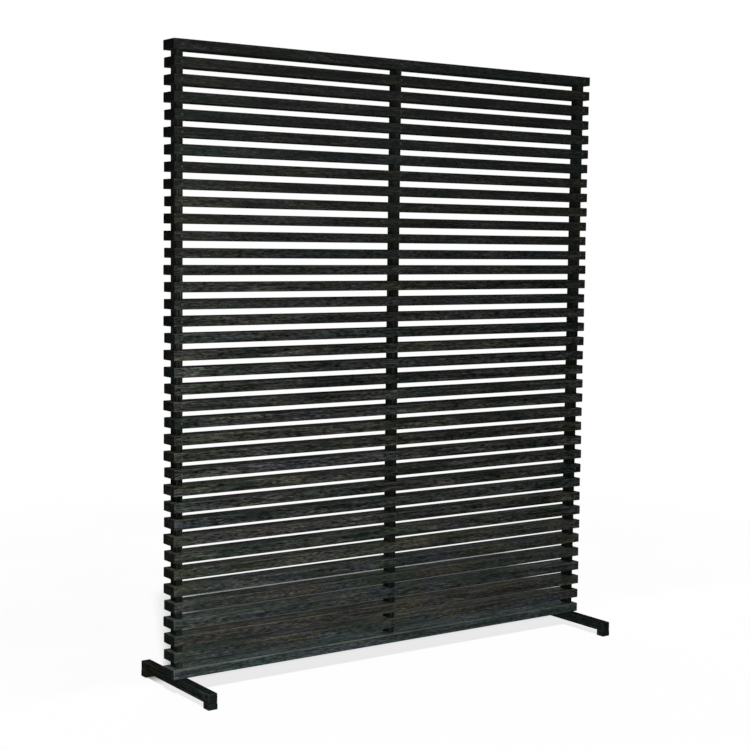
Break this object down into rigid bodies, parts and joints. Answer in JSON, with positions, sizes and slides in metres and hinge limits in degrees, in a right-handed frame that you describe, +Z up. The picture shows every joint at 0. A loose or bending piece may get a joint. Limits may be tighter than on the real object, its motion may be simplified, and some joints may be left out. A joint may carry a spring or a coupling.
{
  "type": "garden privacy screen",
  "caption": "Free-standing slatted wooden privacy screen: flat horizontal slats threaded on slim posts with open gaps, on two foot beams with pad blocks.",
  "frame": {"origin": "on the ground, midway between the slat ends and midway between front and rear of the foot beams", "axes": "+X along the slats to the viewer's right, +Y from front to back, +Z up"},
  "size_m": [1.5, 0.4, 1.793],
  "materials": {
    "slat_wood": "black-stained, weathered, open grain",
    "post_wood": "black-stained, matt",
    "foot_wood": "black-stained, matt",
    "screw_zinc": "dull zinc, weathered"
  },
  "bodies": {
    "root": {"foot_beam_left": "foot_wood", "foot_beam_right": "foot_wood", "foot_pad_left_front": "foot_wood", "foot_pad_left_rear": "foot_wood", "foot_pad_right_front": "foot_wood", "foot_pad_right_rear": "foot_wood", "foot_screws_left": "screw_zinc", "foot_screws_right": "screw_zinc", "pad_screws_left": "screw_zinc", "pad_screws_right": "screw_zinc", "post_left": "post_wood", "post_middle": "post_wood", "post_right": "post_wood", "slat_01": "slat_wood", "slat_02": "slat_wood", "slat_03": "slat_wood", "slat_04": "slat_wood", "slat_05": "slat_wood", "slat_06": "slat_wood", "slat_07": "slat_wood", "slat_08": "slat_wood", "slat_09": "slat_wood", "slat_10": "slat_wood", "slat_11": "slat_wood", "slat_12": "slat_wood", "slat_13": "slat_wood", "slat_14": "slat_wood", "slat_15": "slat_wood", "slat_16": "slat_wood", "slat_17": "slat_wood", "slat_18": "slat_wood", "slat_19": "slat_wood", "slat_20": "slat_wood", "slat_21": "slat_wood", "slat_22": "slat_wood", "slat_23": "slat_wood", "slat_24": "slat_wood", "slat_25": "slat_wood", "slat_26": "slat_wood", "slat_27": "slat_wood", "slat_28": "slat_wood", "slat_29": "slat_wood", "slat_30": "slat_wood", "slat_31": "slat_wood", "slat_32": "slat_wood", "slat_33": "slat_wood", "slat_34": "slat_wood", "slat_35": "slat_wood", "slat_36": "slat_wood", "slat_37": "slat_wood", "slat_38": "slat_wood", "slat_screws_left": "screw_zinc", "slat_screws_middle": "screw_zinc", "slat_screws_right": "screw_zinc"}
  },
  "joints": []
}
